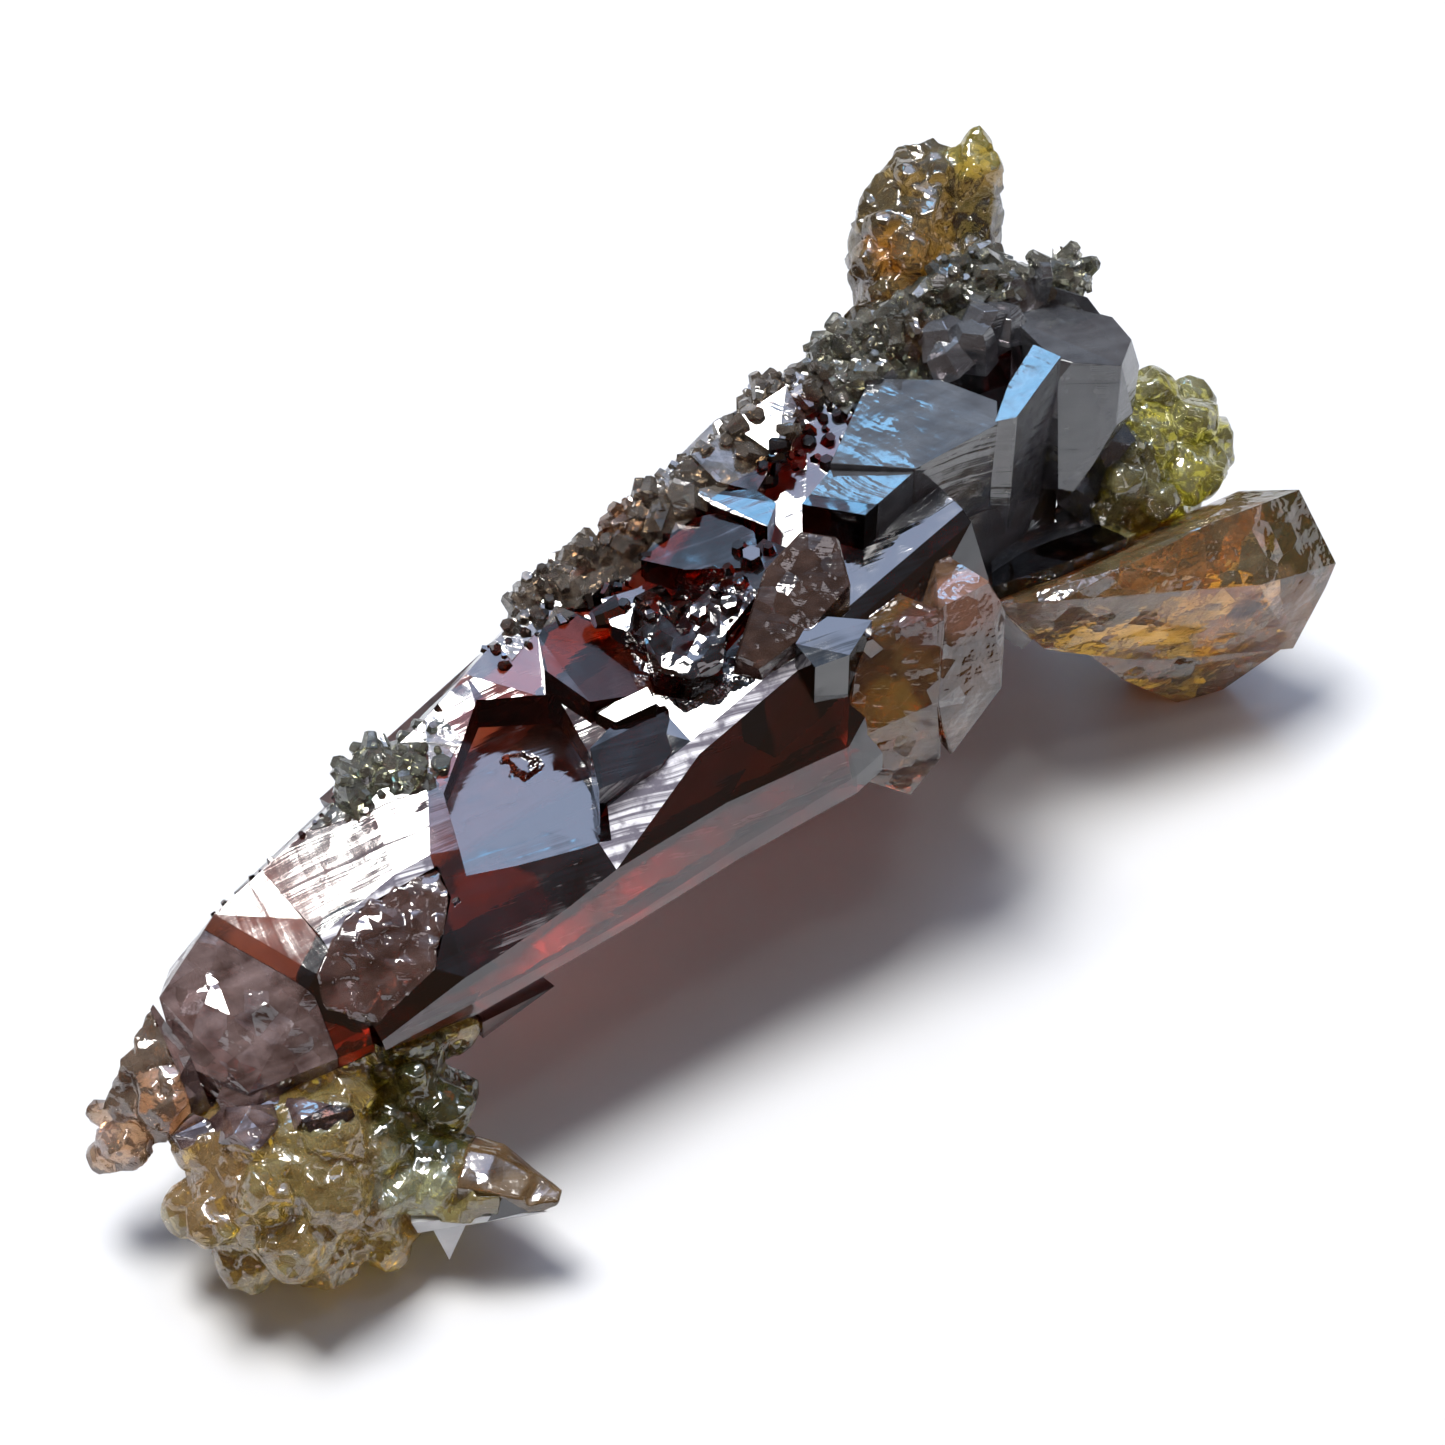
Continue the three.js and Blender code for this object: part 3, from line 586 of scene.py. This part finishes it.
SLAB = [(1.1, -7.6, 11.5), (2.8, -7.7, 11.4), (3.2, -8.0, 10.2), (2.4, -8.9, 8.4),
        (0.6, -9.0, 7.0), (0.3, -8.6, 9.2), (2.8, -5.5, 10.8), (2.6, -6.0, 7.0),
        (0.6, -6.0, 8.0)]
UPRIGHT_TOP = [(-3.8, -5.2, 11.0), (-2.0, -4.2, 12.3), (-0.7, -4.1, 12.8), (0.0, -4.8, 12.7),
               (-0.4, -5.8, 12.0), (-2.0, -6.0, 11.4), (-3.4, -5.8, 10.8)]
UPRIGHT_DEPTH = 3.5
UPRIGHT = [(x, y, z - down) for down in (0, UPRIGHT_DEPTH) for x, y, z in UPRIGHT_TOP]
LOW_CLUSTER = [(9.0, -4.6, 3.0), (11.4, -4.2, 3.0), (11.4, -8.0, 3.0), (9.0, -8.0, 3.0),
               (9.2, -5.25, 9.1), (11.3, -4.95, 9.4), (11.3, -8.0, 9.4), (9.2, -8.0, 9.1)]
HEAD_FRONT = [(1.4, -4.6), (3.0, -5.05), (5.5, -5.1), (8.2, -5.4), (10.3, -5.4), (11.4, -4.7)]
HEAD_REST = [(11.9, -2.6), (10.6, -0.9), (4.4, -0.6), (1.5, -2.2)]
HEAD_TOP, HEAD_FOOT = 14, 3
HEAD = [(x, y, HEAD_TOP) for x, y in [(0.3, -2.8)] + HEAD_FRONT + HEAD_REST]
HEAD += [(x, y, HEAD_FOOT) for x, y in HEAD_FRONT]

# %% Zones of the left and the crest
BLADE = [(-17.8, -9.2, 2.5), (-14.9, -11.2, 2.6), (-17.7, -9.3, 2.0), (-15.0, -10.9, 2.2),
         (-17.4, -8.6, 2.3), (-15.2, -10.4, 2.4), (-17.4, -9.4, 2.4), (-16.4, -9.9, 2.4),
         (-17.2, -9.9, 0.9), (-17.2, -9.0, 2.2), (-16.6, -9.4, 2.2)]
PITTED_OUTLINE = [(-15.6, -4.0, 8.5), (-13.0, -4.5, 9.0), (-13.2, -5.2, 8.5), (-14.6, -6.1, 7.5),
                  (-16.3, -6.1, 6.7), (-17.1, -5.3, 7.2), (-17.0, -4.6, 7.9)]
PITTED_WAY = (0.25, -0.6, 0.75)
PITTED_FACE = [(x + PITTED_WAY[0] * out, y + PITTED_WAY[1] * out, z + PITTED_WAY[2] * out)
               for out in (0.4, -0.9) for x, y, z in PITTED_OUTLINE]
CREST_HEIGHT = 4
REAR_LINE = [(-8, -1.3, 10.2), (-8, 1.6, 9.7), (4, -1.2, 12.25), (4, 1.8, 11.7)]
LEFT_LINE = [(-14.8, -2.5, 9.0), (-14.8, 0.2, 8.6), (-10.4, -2.8, 9.75), (-10.4, 0.4, 9.5)]
REAR_CREST, LEFT_CREST = [[(x, y, z + up) for up in (0, CREST_HEIGHT) for x, y, z in line]
                          for line in (REAR_LINE, LEFT_LINE)]


# %% Cut
def standing(outline, low, high):
    """The corners of a block over a flat outline, from one height to another."""
    return [(x, y, z) for x, y in outline for z in (low, high)]


def lying(outline, left, right):
    """The corners of a block along X, with an outline in Y and Z."""
    return [(x, y, z) for x in (left, right) for y, z in outline]


# The order counts: where two zones overlap, the crystal that is cut first has the overlap.
ZONES = {
    "tip": standing([(-24, 0), (-24, -5), (-21.0, -4.4), (-20.6, -2.5), (-20.2, 0)], 2.0, 8.0),
    "blade": BLADE,
    "left_point": standing([(-16.6, -9.6), (-14.6, -8.0), (-12, -10), (-14, -12.5)], 1, 6),
    "left_cluster": lying([(-3.0, 3.6), (-6.4, 5.9), (-10.5, 6.4), (-10.5, -1), (-2.5, -1)],
                          -24, -13.6),
    "pitted_face": PITTED_FACE,
    "shoulder": standing([(-24, 2), (-24, -7), (-17.7, -7), (-17.3, -4.9), (-18.3, -3.6),
                          (-18.4, -2), (-19.6, 2)], 3, 9),
    "front_block": BLOCK,
    "front_slab": SLAB,
    "upright": UPRIGHT,
    "right_prism": PRISM,
    "low_cluster": LOW_CLUSTER,
    "right_cluster": standing([(11.15, -4.6), (11.75, -2.6), (11.2, -1.2), (16, -1), (16, -8),
                               (11.15, -8)], 2, 10),
    "spire": lying([(1.3, 10.8), (1.3, 12.2), (0.6, 13.0), (0.6, 16), (5.4, 16), (5.4, 10.8)],
                   5.4, 12.4),
    "head": HEAD,
    "right_crest": standing([(3.5, -1.2), (12.4, -2.4), (12.4, 3.6), (3.5, 3.0)], 11.6, 16),
    "rear_crest": REAR_CREST,
    "left_crest": LEFT_CREST,
}
# A zone drawn on the crystal's own corners is grown a little, so that it takes all of the crystal.
GROWN = {"upright": 1.02, "front_block": 1.02, "front_slab": 1.02, "right_prism": 1.01,
         "blade": 1.06}
GAP = 1.004

rest = whole_stone()
pieces = {}
for zone, corners in ZONES.items():
    inner = hull_mesh("zone", corners, GROWN.get(zone, 1.0))
    outer = hull_mesh("zone_outer", corners, GROWN.get(zone, 1.0) * GAP)
    pieces[zone] = cut(rest, inner, "INTERSECT", zone)
    left_over = cut(rest, outer, "DIFFERENCE", "rest")
    drop(rest, inner, outer)
    rest = left_over
    print(f"{zone:14} {len(pieces[zone].data.polygons)} faces; "
          f"left over {len(rest.data.polygons)}")
pieces["trunk"] = rest
rest.name = "trunk"

# %% [markdown]
# ## Knobbly clusters
# The clusters at both ends are heaps of tiny intergrown crystals that show only their tips. They
# could be planted one by one, but crystals that crowd each other leave no gaps to see between
# them. So a fine skin is wrapped over each heap, and every small cell of that skin is pulled
# towards a flat face of its own.


# %% Skins
def skinned(obj, voxel):
    """The object under a fine, even skin."""
    mod = obj.modifiers.new("skin", "REMESH")
    mod.mode = "VOXEL"
    mod.voxel_size = voxel
    return settled(obj)


def softened(obj, rounds):
    """The object with its lumps and corners melted down, more with every round."""
    mod = obj.modifiers.new("melt", "SMOOTH")
    mod.factor = 0.5
    mod.iterations = rounds
    result = settled(obj)
    result.data.shade_smooth()
    return result


# %% Facets
NEAR = [(i, j, k) for i in (-1, 0, 1) for j in (-1, 0, 1) for k in (-1, 0, 1)]


def spaced_corners(place, cell, draw):
    """Corners picked at random, none nearer to another than a cell."""
    taken = {}
    for v in draw.permutation(len(place)):
        key = tuple(np.floor(place[v] / cell).astype(int))
        around = [(key[0] + i, key[1] + j, key[2] + k) for i, j, k in NEAR]
        if all(np.linalg.norm(place[taken[a]] - place[v]) > cell for a in around if a in taken):
            taken[key] = v
    return np.array(list(taken.values()))


def facet(obj, cell, flat, tilt, swell, seed):
    """Pulls each cell of a skin towards a tilted flat face of its own, and swells its middle."""
    mesh = obj.data
    count = len(mesh.vertices)
    place, normal = np.empty(count * 3), np.empty(count * 3)
    mesh.vertices.foreach_get("co", place)
    mesh.vertices.foreach_get("normal", normal)
    place, normal = place.reshape(-1, 3), normal.reshape(-1, 3)
    draw = np.random.default_rng(seed)
    middles = spaced_corners(place, cell, draw)
    tree = KDTree(len(middles))
    for k, v in enumerate(middles):
        tree.insert(place[v], k)
    tree.balance()
    ways = normal[middles] + draw.normal(0, tilt, (len(middles), 3))
    ways /= np.linalg.norm(ways, axis=1)[:, None]
    reach = draw.uniform(0.0, swell, len(middles))
    nearest = np.array([tree.find(spot)[1] for spot in place])
    way = ways[nearest]
    height = np.sum((place - place[middles][nearest]) * way, axis=1)
    place += (reach[nearest] - flat * height)[:, None] * way
    mesh.vertices.foreach_set("co", place.ravel())
    mesh.update()
    print(f"{obj.name:14} {len(middles)} facets on {count} corners")


# %% Wrap the clusters
# Each row: the zone, the mesh width of its skin, the rounds of melting, the size of a facet, how
# flat it is pulled, how far it tilts, and how far it may swell. Lengths are in millimetres.
SKINS = (
    ("left_cluster", 0.09, 14, 0.5, 0.8, 0.25, 0.14),
    ("right_cluster", 0.09, 10, 0.5, 0.8, 0.25, 0.13),
    ("low_cluster", 0.08, 6, 0.45, 0.8, 0.25, 0.12),
    ("spire", 0.07, 3, 0.4, 0.8, 0.25, 0.12),
    ("tip", 0.07, 3, 0.4, 0.8, 0.25, 0.1),
    ("pitted_face", 0.07, 0, 0.42, 0.7, 0.2, 0.07),
    ("left_point", 0.07, 0, 0.8, 0.35, 0.1, 0.04),
)
LAST_MELT = 1
for zone, voxel, melt, cell, flat, tilt, swell in SKINS:
    pieces[zone] = softened(skinned(pieces[zone], voxel), melt)
    facet(pieces[zone], cell, flat, tilt, swell, seed=len(zone))
    pieces[zone] = softened(pieces[zone], LAST_MELT)

# %% [markdown]
# ## Small crystals
# Along the crest, and in the rough places between the big faces, hundreds of blunt six-sided
# crystals stand at all angles. Placing them by hand would take days, and a scatter over whole
# faces would cover the clean ones too. So a node tree plants them only where a piece's surface
# comes near a guide line, and joins them into the piece, which stays one closed solid.

# %% Crystal growing tree
FLOAT_MIN, FLOAT_MAX, FLOAT_RESULT = 2, 3, 1
MOST_PER_MM2 = 60
CRYSTAL = {"Vertices": 6, "Radius Top": 0.55, "Radius Bottom": 1.0, "Depth": 1.7}
ROOT_DEPTH = 0.9
LEAST_SHARE_OF_REACH = 0.5


def near_guide(tree, given):
    """True where a place comes nearer to the guide line than a reach that varies at random."""
    line = add_node(tree, "GeometryNodeObjectInfo", {"Object": given["Guide"]})
    near = add_node(tree, "GeometryNodeProximity", {0: line.outputs["Geometry"]},
                    target_element="EDGES")
    edge = add_node(tree, "FunctionNodeRandomValue",
                    {"Seed": given["Seed"], FLOAT_MIN: LEAST_SHARE_OF_REACH})
    limit = add_node(tree, "ShaderNodeMath", {0: given["Reach"], 1: edge.outputs[FLOAT_RESULT]},
                     operation="MULTIPLY")
    inside = add_node(tree, "FunctionNodeCompare",
                      {0: near.outputs["Distance"], 1: limit.outputs[0]}, operation="LESS_THAN")
    return inside.outputs[0]


def leaning(tree, given, upright):
    """A rotation that leans away from upright, and spins, at random."""
    lean = add_node(tree, "FunctionNodeRandomValue",
                    {0: (-1, -1, -3), 1: (1, 1, 3), "Seed": given["Seed"]},
                    data_type="FLOAT_VECTOR")
    scaled = add_node(tree, "ShaderNodeVectorMath",
                      {0: lean.outputs[0], "Scale": given["Lean"]}, operation="SCALE")
    turn = add_node(tree, "FunctionNodeEulerToRotation", {0: scaled.outputs[0]})
    return add_node(tree, "FunctionNodeRotateRotation", {0: upright, 1: turn.outputs[0]},
                    rotation_space="LOCAL").outputs[0]


def growing_tree():
    tree = bpy.data.node_groups.new("grow small crystals", "GeometryNodeTree")
    for name, kind in (("Geometry", "Geometry"), ("Guide", "Object"), ("Reach", "Float"),
                       ("Spacing", "Float"), ("Smallest", "Float"), ("Largest", "Float"),
                       ("Lean", "Float"), ("Seed", "Int"), ("Material", "Material")):
        tree.interface.new_socket(name, in_out="INPUT", socket_type=f"NodeSocket{kind}")
    tree.interface.new_socket("Geometry", in_out="OUTPUT", socket_type="NodeSocketGeometry")
    given = tree.nodes.new("NodeGroupInput").outputs

    points = add_node(tree, "GeometryNodeDistributePointsOnFaces", distribute_method="POISSON")
    points.inputs["Density Max"].default_value = MOST_PER_MM2
    for socket, value in (("Mesh", "Geometry"), ("Distance Min", "Spacing"), ("Seed", "Seed")):
        tree.links.new(given[value], points.inputs[socket])
    shape = add_node(tree, "GeometryNodeMeshCone", CRYSTAL)
    sunk = add_node(tree, "GeometryNodeTransform",
                    {"Translation": (0, 0, -ROOT_DEPTH), "Geometry": shape.outputs["Mesh"]})
    size = add_node(tree, "FunctionNodeRandomValue",
                    {FLOAT_MIN: given["Smallest"], FLOAT_MAX: given["Largest"],
                     "Seed": given["Seed"]})
    planted = add_node(tree, "GeometryNodeInstanceOnPoints", {
        "Points": points.outputs["Points"],
        "Selection": near_guide(tree, given),
        "Instance": sunk.outputs[0],
        "Rotation": leaning(tree, given, points.outputs["Rotation"]),
        "Scale": size.outputs[FLOAT_RESULT],
    })
    union = add_node(tree, "GeometryNodeMeshBoolean", {1: planted.outputs[0]},
                     operation="UNION", solver="MANIFOLD")
    tree.links.new(given["Geometry"], union.inputs[1])
    real = add_node(tree, "GeometryNodeRealizeInstances", {"Geometry": union.outputs[0]})
    dressed = add_node(tree, "GeometryNodeSetMaterial",
                       {"Geometry": real.outputs[0], "Material": given["Material"]})
    add_node(tree, "NodeGroupOutput", {0: dressed.outputs[0]})
    return tree


GROWING = growing_tree()
print("growing tree:", len(GROWING.nodes), "nodes")


# %% Grow the small crystals
def grow(obj, path, **given):
    """Small crystals on the object, wherever its surface comes near a path."""
    guide_mesh = bpy.data.meshes.new("guide")
    guide_mesh.from_pydata(path, [(k, k + 1) for k in range(len(path) - 1)], [])
    given["Guide"] = guide = link("guide", guide_mesh)
    mod = obj.modifiers.new("small crystals", "NODES")
    for socket in GROWING.interface.items_tree:
        if socket.name in given:
            mod[socket.identifier] = given[socket.name]
    mod.node_group = GROWING
    before = len(obj.data.polygons)
    grown = settled(obj)
    drop(guide)
    print(f"{grown.name:14} {before} -> {len(grown.data.polygons)} faces")
    return grown


# Each row: the zone, the guide line, how far from it they grow, how far apart they stand, the
# smallest and the largest of them, and how much they lean. Lengths are in millimetres.
CREST_GROWTH = (
    ("rear_crest", [(-6.6, 0.3, 10.6), (-2.6, 0.5, 11.4), (4.4, 1.0, 12.4)],
     1.2, 0.3, 0.1, 0.34, 0.5),
    ("rear_crest", [(2.2, -0.9, 12.6), (4.4, -0.4, 12.8)], 0.8, 0.3, 0.1, 0.3, 0.5),
    ("right_crest", [(4.6, 0.6, 13.0), (8.0, 0.4, 13.2), (11.0, -1.9, 12.6)],
     2.6, 0.42, 0.14, 0.42, 0.5),
    ("left_crest", [(-13.4, -1.1, 9.2), (-11.6, -1.5, 9.9)], 1.5, 0.4, 0.1, 0.3, 0.5),
    ("trunk", [(-8.0, -0.6, 10.4), (-5.6, -0.9, 10.9), (-3.2, -0.8, 11.4)],
     0.7, 0.26, 0.08, 0.24, 0.5),
    ("trunk", [(-5.4, -2.2, 11.2), (-4.4, -3.3, 11.3), (-3.0, -3.6, 11.6), (-1.6, -3.4, 12.0)],
     0.7, 0.5, 0.2, 0.48, 0.16),
    ("trunk", [(0.9, -0.9, 12.0), (2.0, -1.8, 12.1), (3.6, -0.8, 12.0)],
     0.9, 0.34, 0.12, 0.34, 0.5),
    ("trunk", [(-19.4, -0.8, 6.6), (-17.6, -1.2, 8.0), (-14.2, -1.2, 9.0), (-10.3, -0.9, 9.9)],
     0.3, 0.3, 0.06, 0.15, 0.4),
)
for k, (zone, path, reach, spacing, smallest, largest, lean) in enumerate(CREST_GROWTH):
    pieces[zone] = grow(pieces[zone], path, Reach=reach, Spacing=spacing, Smallest=smallest,
                        Largest=largest, Lean=lean, Seed=k, Material=MATERIALS[zone][1])

# %% [markdown]
# ## Edges
# No real edge is perfectly sharp. A narrow chamfer along the edges of the big crystals catches
# the light as a thin bright line. The Bevel modifier could make it, but it narrows every chamfer
# until the shortest edge has room for it. So only edges with room at both ends are chamfered.

# %% Chamfer the big crystals
FLAT_ANGLE = math.radians(1.0)
SHARP_ANGLE = math.radians(18)
ROOM = 2.5


def chamfered(obj, width):
    """The object with a narrow face along each of its long edges. Short edges stay sharp."""
    bm = bmesh.new()
    bm.from_mesh(obj.data)
    bmesh.ops.dissolve_limit(bm, angle_limit=FLAT_ANGLE, verts=bm.verts, edges=bm.edges)
    roomy = {v for v in bm.verts if all(e.calc_length() > ROOM * width for e in v.link_edges)}
    edges = [e for e in bm.edges if e.is_manifold and e.calc_face_angle() > SHARP_ANGLE
             and roomy.issuperset(e.verts)]
    bmesh.ops.bevel(bm, geom=edges, offset=width, offset_type="OFFSET", segments=1,
                    affect="EDGES", clamp_overlap=True)
    open_edges = sum(not e.is_manifold for e in bm.edges)
    bm.to_mesh(obj.data)
    bm.free()
    print(f"{obj.name:14} {len(edges)} edges chamfered, {len(obj.data.polygons)} faces, "
          f"{open_edges} open")
    return obj


CHAMFERS = {"trunk": 0.08, "head": 0.06, "front_block": 0.07, "front_slab": 0.07,
            "right_prism": 0.08, "upright": 0.07, "shoulder": 0.07}
for zone, width in CHAMFERS.items():
    pieces[zone] = chamfered(pieces[zone], width)
    pieces[zone].data.shade_flat()

# %% Mark the level faces
LEVEL_FROM = 0.8
LEVEL_OVER = 0.12


def mark_level(obj):
    """Notes how level each face is: 0 where it stands upright, 1 where it lies flat."""
    level = [max(0.0, min(1.0, (face.normal.z - LEVEL_FROM) / LEVEL_OVER))
             for face in obj.data.polygons]
    obj.data.attributes.new("level", "FLOAT", "FACE").data.foreach_set("value", level)
    print(f"{obj.name:14} {sum(share > 0 for share in level)} faces are more or less level")


# The level note steers the trunk's painted shade: upright faces get a darker skin.
mark_level(pieces["trunk"])

# %% [markdown]
# ## Materials on the pieces
# Every piece carries one clear material. The trunk also carries the painted ridge highlight, on the
# narrow faces that already run along its ridge. The ridge could be a strip laid on top, but two
# bodies would then fight for the same place. Choosing faces that are there keeps the trunk one
# closed solid.

# %% Dress the pieces
for zone, (slot, material) in MATERIALS.items():
    mesh = pieces[zone].data
    mesh.materials.clear()
    mesh.materials.append(material)
    mesh.polygons.foreach_set("material_index", [0] * len(mesh.polygons))
pieces["trunk"].data.materials.append(RIDGE_HIGHLIGHT)
print(len(MATERIALS), "pieces dressed")

# %% The ridge's painted highlight
RIDGE = [Vector(p) for p in (
    (-16.2, -4.2, 8.3), (-15.2, -4.1, 8.6), (-13.0, -4.4, 8.9), (-11.6, -5.3, 8.75),
    (-9.0, -6.15, 8.7), (-7.5, -6.2, 9.15), (-5.8, -6.2, 9.5), (-3.9, -6.1, 10.05),
    (-2.4, -6.1, 10.5))]
RIDGE_WAY = Vector((-0.2, -0.44, 0.87)).normalized()
RIDGE_REACH = 0.4
RIDGE_WIDEST = 0.5
SLIVER = 0.15
FACING, SLIVER_FACING = 0.955, 0.9
RIDGE_HIGHLIGHT_INDEX = 1


def from_path(spot, path):
    """How far a spot lies from a bent line."""
    near = []
    for a, b in zip(path, path[1:]):
        share = max(0.0, min(1.0, (spot - a).dot(b - a) / (b - a).length_squared))
        near.append((spot - a.lerp(b, share)).length)
    return min(near)


def is_ridge_highlight(obj, face):
    """True for a narrow face near the ridge that faces the way the ridge does."""
    corners = obj.data.vertices
    rim = sum((corners[a].co - corners[b].co).length for a, b in face.edge_keys)
    width = 2 * face.area / rim
    facing = face.normal.dot(RIDGE_WAY) > (FACING if width > SLIVER else SLIVER_FACING)
    return width < RIDGE_WIDEST and facing and from_path(face.center, RIDGE) < RIDGE_REACH


# These narrow faces along the ridge get the painted highlight.
ridge_highlight_faces = [face for face in pieces["trunk"].data.polygons if is_ridge_highlight(pieces["trunk"], face)]
for face in ridge_highlight_faces:
    face.material_index = RIDGE_HIGHLIGHT_INDEX
print("trunk:", len(ridge_highlight_faces), "faces of painted highlight along the ridge")

# %% [markdown]
# ## Handing over
# The pieces have been worked on in millimetres, in the frame the stone grew in. Now each mesh is
# moved back to metres and to the imported solid's place, rides on the stone's one body, and the
# pieces together stand in for the imported solid.

# %% Finish the pieces
TO_THE_FRAME = Matrix.Scale(MM, 4) @ Matrix.Translation(SHIFT)
for zone, (slot, material) in MATERIALS.items():
    pieces[zone].data.transform(TO_THE_FRAME)
    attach(pieces[zone], "root")
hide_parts("zincite_crystal")
